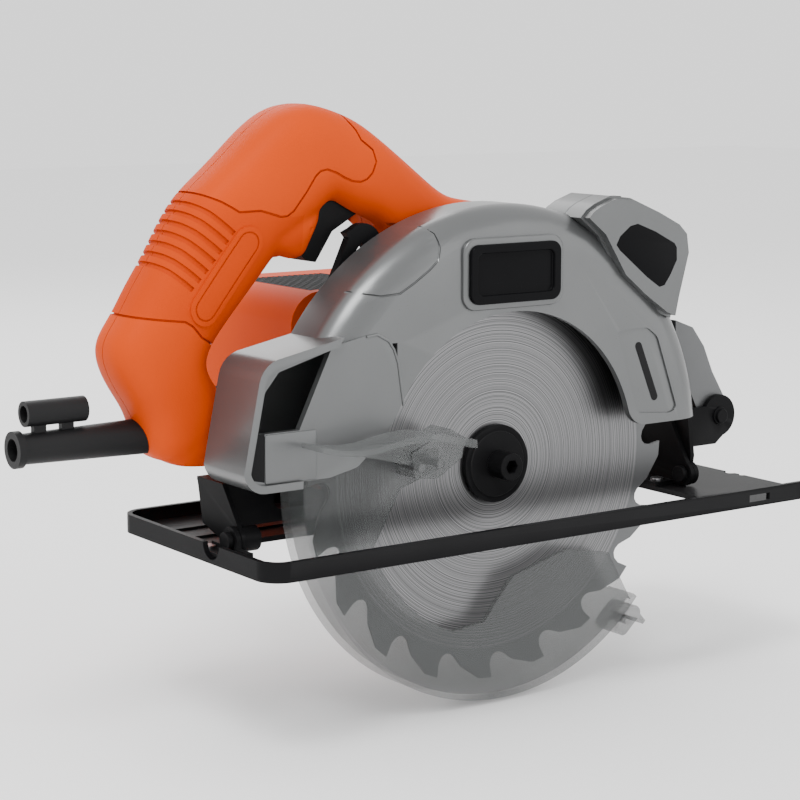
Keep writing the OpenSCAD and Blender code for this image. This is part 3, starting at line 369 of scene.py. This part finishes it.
def combined(bm, other, operation="DIFFERENCE"):
    """One bmesh cut by another, joined to it, or kept where they overlap. Both are used up."""
    a, b = held(bm), held(other)
    boolean = a.modifiers.new("boolean", "BOOLEAN")
    boolean.operation = operation
    boolean.solver = "EXACT"
    boolean.object = b
    result = baked(a)
    dropped(b)
    return result


def slab(outline, y0, y1, corner=0.0, into=None):
    """A plate from an outline of (x, z) points about the arbor, its corners rounded."""
    bm = bmesh.new()
    face = bm.faces.new([bm.verts.new(at(x, z, y0)) for x, z in outline])
    if corner:
        bmesh.ops.bevel(bm, geom=bm.verts[:], offset=corner * MM, offset_type="OFFSET", segments=6,
                        profile=0.5, affect="VERTICES", clamp_overlap=True, material=-1)
        face = bm.faces[:][0]
    grown = bmesh.ops.extrude_face_region(bm, geom=bm.faces[:])["geom"]
    bmesh.ops.translate(bm, vec=(0, (y1 - y0) * MM, 0),
                        verts=[g for g in grown if isinstance(g, bmesh.types.BMVert)])
    bmesh.ops.recalc_face_normals(bm, faces=bm.faces)
    if into is None:
        return bm
    return gathered(into, bm)


def gathered(bm, other):
    """Two bmeshes side by side in the first one."""
    mesh = bpy.data.meshes.new("work")
    other.to_mesh(mesh)
    other.free()
    bm.from_mesh(mesh)
    bpy.data.meshes.remove(mesh)
    return bm


def strip(points, half):
    """The outline of a band half mm to each side of a line of (x, z) points."""
    sides = ([], [])
    for i, p in enumerate(points):
        a = points[max(0, i - 1)]
        b = points[min(len(points) - 1, i + 1)]
        along = Vector((b[0] - a[0], b[1] - a[1])).normalized()
        for side, sign in zip(sides, (1, -1)):
            side.append((p[0] - sign * half * along.y, p[1] + sign * half * along.x))
    return sides[0] + sides[1][::-1]


def welded(node):
    bm = bmesh.new()
    bm.from_mesh(frame["nodes"][node].data)
    bmesh.ops.remove_doubles(bm, verts=bm.verts, dist=2e-6)
    return bm


def softened(node, material, width, segments=2, sharp=28, cutter=None):
    """A stand-in for a node: welded, its flats joined, its sharp edges rounded by width mm."""
    bm = welded(node)
    if cutter:
        bm = combined(bm, cutter)
    bmesh.ops.dissolve_limit(bm, angle_limit=math.radians(1.5), use_dissolve_boundaries=False,
                             verts=bm.verts, edges=bm.edges)
    edges = [e for e in bm.edges
             if len(e.link_faces) == 2 and e.calc_face_angle(0) > math.radians(sharp)]
    bmesh.ops.bevel(bm, geom=edges, offset=width * MM, offset_type="OFFSET", segments=segments,
                    profile=0.5, affect="EDGES", clamp_overlap=True, material=-1)
    obj = piece("fine_" + node, bm, body_with(node), material)
    weighted = obj.modifiers.new("weighted", "WEIGHTED_NORMAL")
    weighted.keep_sharp = True
    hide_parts(node)
    return obj


def painted(node, material):
    """A node that keeps its own mesh and takes a finish."""
    data = frame["nodes"][node].data
    data.materials.clear()
    data.materials.append(material)


# %% Which node gets which finish
PLAIN = {
    "guard_screws": zinc, "gear_case_screws": zinc, "laser_module": brass,
    "guard_spring": zinc, "guard_retainer": zinc, "inner_flange": zinc, "spindle": zinc,
    "spindle_gear": iron, "spindle_front_bearing": zinc, "spindle_rear_bush": brass,
    "armature_shaft": zinc, "armature_core": iron, "armature_windings": copper, "commutator": copper,
    "cooling_fan": black_mould, "armature_front_bearing": zinc, "armature_rear_bearing": zinc,
    "field_stator": iron, "fan_baffle": black_mould, "brush_holders": brass,
    "carbon_brushes": black_mould, "switch_body": black_mould, "shoe_rivets": zinc,
    "guard_lever_screws": zinc, "brush_caps": black_mould,
}
SOFT = {
    "shoe": (black_steel, 0.5), "front_quadrant": (black_steel, 0.3), "rear_hinge_lug": (black_steel, 0.3),
    "front_bracket": (black_steel, 0.4), "rear_depth_bracket": (black_steel, 0.3),
    "bevel_pins": (black_steel, 0.3), "bevel_lock_bolt": (black_steel, 0.3), "bevel_knob": (black_mould, 1.2),
    "depth_pivot_pin": (black_steel, 0.3), "depth_bolt": (zinc, 0.3), "depth_nut": (zinc, 0.3),
    "depth_lever": (black_mould, 0.8), "badge_plate": (gloss_black, 0.5),
    "gear_case": (cast_metal, 0.6), "laser_housing_front": (grey_mould, 2.2),
    "laser_housing_rear": (grey_mould, 1.6),
    "laser_switch": (black_mould, 0.5), "lower_guard": (smoke_guard, 0.4),
    "guard_lever": (smoke_lever, 0.5), "guard_bumper": (smoke_lever, 0.5),
    "outer_flange": (black_steel, 0.3), "arbor_bolt": (black_steel, 0.4),
    "spindle_lock": (black_mould, 0.4), "motor_housing": (orange_mould, 2.0),
    "motor_end_cap": (black_mould, 0.5),
    "trigger": (black_mould, 1.6), "cord_guard": (black_rubber, 0.4), "blade": (blade_steel, 0.1),
}
for node, material in PLAIN.items():
    painted(node, material)
for node, (material, width) in SOFT.items():
    softened(node, material, width)
print("softened", len(SOFT), "and painted", len(PLAIN), "nodes")

# %% [markdown]
# ## The moulded handle
#
# The handle is lofted through rings that follow the hand from the foot of the grip, over the top and
# down to the front block. A second loft makes the lower bar. Both are fused by a voxel remesh and
# smoothed, which gives the soft blends of a moulding.

# %% Loft the handle
HANDLE_Y = 35.0
LOOP = [  # outer point, inner point and half width of each ring
    ((-143, 9), (-108, 8), 14), ((-147.5, 20), (-108, 28), 17), ((-149.5, 30), (-115, 38), 17.5),
    ((-157, 40), (-121, 46), 17.5), ((-162.5, 52), (-119.5, 52), 17), ((-161.5, 60), (-115, 58.5), 16.5),
    ((-154.5, 68.5), (-108, 66.5), 16.5), ((-149, 79), (-102, 73), 16.5), ((-141, 90), (-95, 80.5), 16.5),
    ((-134, 103), (-89, 87.5), 17), ((-126, 113.5), (-84, 93), 17.5), ((-117.6, 120.2), (-80, 95), 18),
    ((-107, 129), (-74, 100), 18.5), ((-98, 137.5), (-68, 105), 19), ((-86, 146.5), (-64, 108.5), 19.2),
    ((-75, 148.6), (-61.5, 109), 19), ((-67, 147.6), (-58, 106.5), 18.5), ((-55, 144), (-50, 102), 18),
    ((-45.8, 139.5), (-42, 99), 17.5), ((-29.5, 127.8), (-36, 92), 17), ((-16.5, 118), (-31, 83), 17),
    ((-5, 109.5), (-26, 75), 17), ((6, 107), (-8, 72), 17), ((30, 104), (27, 72), 16),
]
LOWER_BAR = [
    ((-141, 31), (-141, 8), 15.5), ((-120, 38), (-120, 6.5), 16), ((-105, 33.5), (-105, 6), 16),
    ((-90, 30), (-90, 5.5), 16), ((-66, 26), (-66, 5), 16),
]

SHROUD = [
    ((-104, 95), (-64, 110), 16), ((-97, 90.3), (-68, 101), 15), ((-91, 89), (-71.5, 95.5), 14),
    ((-86, 87.4), (-74, 91), 13), ((-81, 86.4), (-76, 87.6), 11.5),
]


def loft(bm, stations, corner=2.8, steps=32):
    """A closed tube through rings; a corner of 2 makes ellipses and a higher one squarer rings."""
    loops = []
    for outer, inner, half in stations:
        made = bmesh.ops.create_circle(bm, segments=steps, radius=1.0)["verts"]
        reach = Vector((inner[0] - outer[0], inner[1] - outer[1])) / 2
        centre = Vector((inner[0] + outer[0], inner[1] + outer[1])) / 2
        for v in made:
            c, s = v.co.x, v.co.y
            c, s = (math.copysign(abs(t) ** (2 / corner), t) for t in (c, s))
            v.co = at(centre.x + reach.x * c, centre.y + reach.y * c, HANDLE_Y + half * s)
        loops.append({e for v in made for e in v.link_edges})
    for a, b in zip(loops, loops[1:]):
        bmesh.ops.bridge_loops(bm, edges=list(a | b))
    bmesh.ops.holes_fill(bm, edges=list(loops[0] | loops[-1]), sides=0)
    bmesh.ops.recalc_face_normals(bm, faces=bm.faces)
    return bm


def fused(bm, voxel, passes):
    """Overlapping lofts rounded, joined into one skin and smoothed."""
    obj = held(bm)
    rounding = obj.modifiers.new("rounding", "SUBSURF")
    rounding.levels = rounding.render_levels = 2
    voxels = obj.modifiers.new("voxels", "REMESH")
    voxels.mode = "VOXEL"
    voxels.voxel_size = voxel * MM
    blending = obj.modifiers.new("blending", "SMOOTH")
    blending.factor = 0.5
    blending.iterations = passes
    return baked(obj)


def grown(bm, amount):
    """A copy of a closed bmesh moved out along its normals."""
    copy = bm.copy()
    copy.normal_update()
    for v, normal in [(v, v.normal.copy()) for v in copy.verts]:
        v.co += normal * amount * MM
    return copy


handle = loft(loft(loft(bmesh.new(), LOOP), LOWER_BAR), SHROUD)
handle = fused(handle, 1.1, 14)
print("handle skin has", len(handle.faces), "faces")

# %% [markdown]
# ## Seams, grooves and pad
#
# The seams are shallow cuts. Each starts as a thin curtain through the whole handle; the part of it that
# is deeper than the groove is taken away with a shrunken copy of the handle, and the rest is the cutter.

# %% Cut the grooves and the clearances
GROOVES = [
    ((-129.5, 112), (-122.5, 107.5), (-112.5, 99)), ((-132.4, 108.7), (-125.5, 104), (-115.4, 95.5)),
    ((-135.3, 105.1), (-128.4, 100.4), (-118.3, 91.9)), ((-138.1, 101.5), (-131.2, 96.8), (-121.2, 88.4)),
    ((-140.7, 97.7), (-134, 93.1), (-124.4, 84.7)), ((-143.3, 93.9), (-136.8, 89.4), (-127.5, 81.4)),
    ((-145.9, 90.1), (-139.5, 85.8), (-130.7, 78.2)),
]
TOP_SEAM = [(-132, 119), (-128.7, 116.2), (-124.2, 114.7), (-117, 111.3), (-110.2, 107.2), (-100.9, 107.4),
            (-91.8, 104.7), (-88.4, 104.9), (-85.6, 106.8), (-80.1, 114), (-76.2, 120), (-73.8, 122),
            (-70.7, 122.5), (-66, 121), (-62, 119), (-58, 117.4), (-54, 117.1), (-51, 118), (-48.2, 120.5),
            (-46.3, 124.8), (-47.6, 129.5), (-53.2, 133.6), (-54.8, 137.5), (-57.2, 141), (-60, 150)]
LOW_SEAM = [(-166, 71), (-162.3, 70.2), (-152.6, 68.6), (-141.7, 67.2), (-134.5, 66.3), (-131.2, 64.4),
            (-126.8, 59.6), (-118, 55), (-110, 53)]
PAD_FROM, PAD_TO, PAD_HALF = Vector((-106.4, 95.0)), Vector((-125.5, 70.6)), 6.7


def capsule(a, b, half, steps=10):
    """The outline of a rounded bar between two points."""
    along = (b - a).normalized()
    turn = math.atan2(along.y, along.x)
    points = []
    for centre, start in ((b, turn - math.pi / 2), (a, turn + math.pi / 2)):
        for i in range(steps + 1):
            angle = start + math.pi * i / steps
            points.append((centre.x + half * math.cos(angle), centre.y + half * math.sin(angle)))
    return points


curtain = bmesh.new()
for line in GROOVES:
    slab(strip(line, 1.05), 5, 65, into=curtain)
for line in (TOP_SEAM, LOW_SEAM):
    slab(strip(line, 0.45), 5, 65, into=curtain)
groove_cutter = combined(curtain, grown(handle, -1.0))
pad_skin = combined(slab(capsule(PAD_FROM, PAD_TO, PAD_HALF), 5, 34), grown(handle, 0.7), "INTERSECT")
pad_skin = combined(pad_skin, grown(handle, -0.6))
ring = combined(slab(capsule(PAD_FROM, PAD_TO, PAD_HALF - 1.9), 5, 34),
                slab(capsule(PAD_FROM, PAD_TO, PAD_HALF - 2.6), 4, 36))
ring = combined(ring, grown(handle, 0.2))
pad_skin = combined(pad_skin, ring)

PIVOT = middle("depth_pivot_pin")
MOTOR = middle("armature_core")


def ring_sector(centre, r0, r1, a0, a1, steps=40):
    """The outline of part of a ring about a point in the frame, in mm about the arbor."""
    cx, cz = (centre.x - ARBOR.x) / MM, (centre.z - ARBOR.z) / MM
    angles = [math.radians(a0 + (a1 - a0) * i / steps) for i in range(steps + 1)]
    return ([(cx + r1 * math.cos(a), cz + r1 * math.sin(a)) for a in angles]
            + [(cx + r0 * math.cos(a), cz + r0 * math.sin(a)) for a in reversed(angles)])


handle = combined(handle, groove_cutter)
for outline, y0, y1 in (
        (ring_sector(PIVOT, 178.5, 195.5, 140, 190), 5, 17.4),
        ([(-76, 11), (46, 11), (46, 99.6), (-76, 99.6)], 5, 21.9),
        ([(-41, 97.5), (-45, 112), (-60, 116), (-92, 96), (-84, 83), (-73, 80)], 26.2, 43.8)):
    handle = combined(handle, slab(outline, y0, y1))
SCREWS = [(-135, 36), (-122, 82), (-78, 127), (-12, 98), (-84, 18)]
HEAD_Y = 50.0
wells = bmesh.new()
for x, z in SCREWS:
    slab(capsule(Vector((x, z)), Vector((x + 0.01, z)), 3.8), HEAD_Y - 2.4, 60, into=wells)
handle = combined(handle, wells)


def half_handle(bm, side, node):
    """One shell of the handle, split at the parting plane, with a second, rougher and slightly darker
    material on the grip, whose darker colour is partly painted shade.
    """
    copy = bm.copy()
    plane_y = (HANDLE_Y + side * 0.18) * MM
    geom = copy.verts[:] + copy.edges[:] + copy.faces[:]
    cut = bmesh.ops.bisect_plane(copy, geom=geom, plane_co=(0, plane_y, 0), plane_no=(0, -side, 0),
                                 clear_outer=True)["geom_cut"]
    bmesh.ops.holes_fill(copy, edges=[g for g in cut if isinstance(g, bmesh.types.BMEdge)], sides=0)
    bmesh.ops.recalc_face_normals(copy, faces=copy.faces)
    # Faces between the two seams on the grip take the darker grip material, partly painted shade.
    for face in copy.faces:
        c = face.calc_center_median()
        x, z = (c.x - ARBOR.x) / MM, (c.z - ARBOR.z) / MM
        under = z < np.interp(x, *zip(*TOP_SEAM[:7]))
        over = z > np.interp(x, *zip(*LOW_SEAM))
        face.material_index = int(under and over and x < -80)
    obj = piece("fine_" + node, copy, body_with(node), orange_mould)
    obj.data.materials.append(grip_mould_with_painted_shade)
    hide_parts(node)
    return obj


half_handle(handle, -1, "handle_shell_right")
half_handle(handle, 1, "handle_shell_left")
# The grip pad takes the same darker grip material, partly painted shade.
pad = piece("fine_grip_pad", pad_skin, "saw", grip_mould_with_painted_shade)
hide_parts("grip_pad")
handle.free()
screws = bmesh.new()
for x, z in SCREWS:
    spot = Vector((x, z)), Vector((x + 0.01, z))
    slab(capsule(*spot, 1.6), 27, HEAD_Y - 2, into=screws)
    slab(capsule(*spot, 3.4), HEAD_Y - 2.3, HEAD_Y, into=screws)
heads = piece("fine_handle_screws", screws, "saw", black_steel)
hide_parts("handle_screws")
print("the handle has", len(GROOVES), "grooves, two seams and a pad")

# %% [markdown]
# ## Badge, label and vents
#
# The badge sits on a raised pad of the guard and stays blank. The line marker's label is a blank black
# panel with rounded corners. The vent on top of the motor is a fine grid of bars.

# %% Small panels
def finished(name, bm, node, material, width=0.0, replace=True):
    """A new piece with rounded edges that stands in for a node."""
    if width:
        edges = [e for e in bm.edges if len(e.link_faces) == 2 and e.calc_face_angle(0) > 0.6]
        bmesh.ops.bevel(bm, geom=edges, offset=width * MM, offset_type="OFFSET", segments=3,
                        profile=0.5, affect="EDGES", clamp_overlap=True, material=-1)
    obj = piece(name, bm, body_with(node), material)
    if replace:
        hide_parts(node)
    return obj


BADGE = (middle("badge_plate") - ARBOR) / MM
PAD_ACROSS, PAD_UP = 25.5, 14.5
pad_rect = [(BADGE.x + across, BADGE.z + up) for across, up in (
    (-PAD_ACROSS, -PAD_UP), (PAD_ACROSS, -PAD_UP), (PAD_ACROSS, PAD_UP), (-PAD_ACROSS, PAD_UP))]
finished("badge_pad", slab(pad_rect, -15.4, -12.4, corner=6), "upper_guard", guard_paint, 0.8, False)

LABEL = [(50.2, 88.7), (52.5, 86), (68, 73.8), (75.3, 69), (78.8, 69.8), (82.4, 74.4), (86, 80.8),
         (85.8, 86.7), (84, 88.9), (72.7, 94.4), (62.6, 98.2), (58.3, 97.4), (52, 92.8)]
low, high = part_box("laser_label")
finished("fine_laser_label", slab(LABEL, low.y / MM, high.y / MM, corner=1.5), "laser_label",
         gloss_black, 0.15)

low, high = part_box("vent_grille")
grid = bmesh.new()
PITCH = 2.7 * MM
BAR = 0.9 * MM


def bar(bm, low, high):
    """A box between two corners."""
    made = bmesh.ops.create_cube(bm, size=1.0)["verts"]
    bmesh.ops.scale(bm, vec=high - low, verts=made)
    bmesh.ops.translate(bm, vec=(low + high) / 2, verts=made)


for i in range(int((high.x - low.x) / PITCH) + 1):
    x = low.x + i * PITCH
    bar(grid, Vector((x, low.y, high.z - 0.0012)), Vector((x + BAR, high.y, high.z)))
for i in range(int((high.y - low.y) / PITCH) + 1):
    y = low.y + i * PITCH
    bar(grid, Vector((low.x, y, high.z - 0.0015)), Vector((high.x, y + BAR, high.z - 0.0003)))
bar(grid, Vector((low.x, low.y, low.z)), Vector((high.x, high.y, low.z + 0.0005)))
finished("fine_vent_grille", grid, "vent_grille", black_mould)
print("vent grid has bars every", round(PITCH / MM, 1), "mm")

# %% [markdown]
# ## The cast guard
#
# The guard's leg has a shallow panel with a slot in it, and a fine seam runs where the dust chute meets
# the dome. The panel and the seam are cut into the welded copy before its edges are rounded; the slot is
# a thin black plate of painted shade on the panel floor.

# %% Cut the guard
GUARD_FRONT = -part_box("badge_plate")[1].y / MM
RIM = (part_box("upper_guard")[1].x - ARBOR.x) / MM


def guard_face(x, z):
    """The y of the guard's outer face in mm: flat in the middle and rolled over towards the rim."""
    over = max(0.0, math.hypot(x, z) - (RIM - 16)) / 16
    return -(GUARD_FRONT - 12) - 12 * math.sqrt(max(0.0, 1 - over * over))


def tube(points, radius, bm, steps=8):
    """A closed thin tube through points of (x, y, z) in mm about the arbor."""
    rings = []
    for i, p in enumerate(points):
        made = bmesh.ops.create_circle(bm, segments=steps, radius=radius * MM)["verts"]
        a, b = points[max(0, i - 1)], points[min(len(points) - 1, i + 1)]
        along = Vector((b[0] - a[0], b[1] - a[1], b[2] - a[2])).normalized()
        turn = along.to_track_quat("Z", "Y").to_matrix()
        for v in made:
            v.co = turn @ v.co + at(p[0], p[2], p[1])
        rings.append({e for v in made for e in v.link_edges})
    for a, b in zip(rings, rings[1:]):
        bmesh.ops.bridge_loops(bm, edges=list(a | b))
    bmesh.ops.holes_fill(bm, edges=list(rings[0] | rings[-1]), sides=0)
    bmesh.ops.recalc_face_normals(bm, faces=bm.faces)
    return bm


SEAM = [(-49, 106), (-49, 103.3), (-44, 101.5), (-39.7, 99.9), (-37.2, 97), (-36.8, 92), (-38.5, 87),
        (-43, 83.4), (-50, 79), (-56.9, 75.2), (-65, 74.5), (-77, 76.4), (-88, 78.4)]
STEPS = 4
cutter = bmesh.new()
line = []
for a, b in zip(SEAM, SEAM[1:]):
    for i in range(STEPS):
        x, z = (a[k] + (b[k] - a[k]) * i / STEPS for k in (0, 1))
        line.append((x, guard_face(x, z), z))
tube(line, 0.5, cutter)
PANEL = [(54.6, 52.6), (71.7, 52.8), (77.6, 48.5), (89.5, 16.5), (85.8, 14.6), (66.8, 16.4)]
slab(PANEL, -16, -13.2, corner=2, into=cutter)
softened("upper_guard", guard_paint, 0.7, cutter=cutter)
# The slot is not cut: a thin black plate on the panel floor is painted shade standing in for the slot's
# shaded inside.
finished("leg_slot_painted_shade", slab(capsule(Vector((67.5, 45)), Vector((77, 22.5)), 1.7), -13.4, -13.0),
         "upper_guard", black_mould, replace=False)
CHUTE_ARCH = [(-73, 59.5), (-68, 60), (-62.5, 57), (-60, 53.5), (-58, 48), (-56.4, 37.5), (-55.4, 31)]
arch = tube([(x, -14.0, z) for x, z in CHUTE_ARCH], 0.55, bmesh.new())
finished("chute_arch", arch, "upper_guard", guard_paint, replace=False)
# A thin black plate below the chute hole: painted shadow of the deeper recess behind the guard face.
BELOW_HOLE = [(-126.6, 26), (-119.6, 26), (-119.8, 7.5), (-124.6, 8.6), (-126.4, 13)]
finished("chute_painted_shadow", slab(BELOW_HOLE, -14.06, -13.6), "upper_guard", black_mould, replace=False)
STEP = [(-104, 25.6), (-96.4, 25.6), (-96.4, 6.2), (-119.6, 6.6), (-119.6, 25.6)]
finished("chute_step", slab(STEP, -14.5, -13.6, corner=0.8), "upper_guard", guard_paint, 0.3, False)
print("guard face at the badge y", round(guard_face(0, 80), 1), "mm")
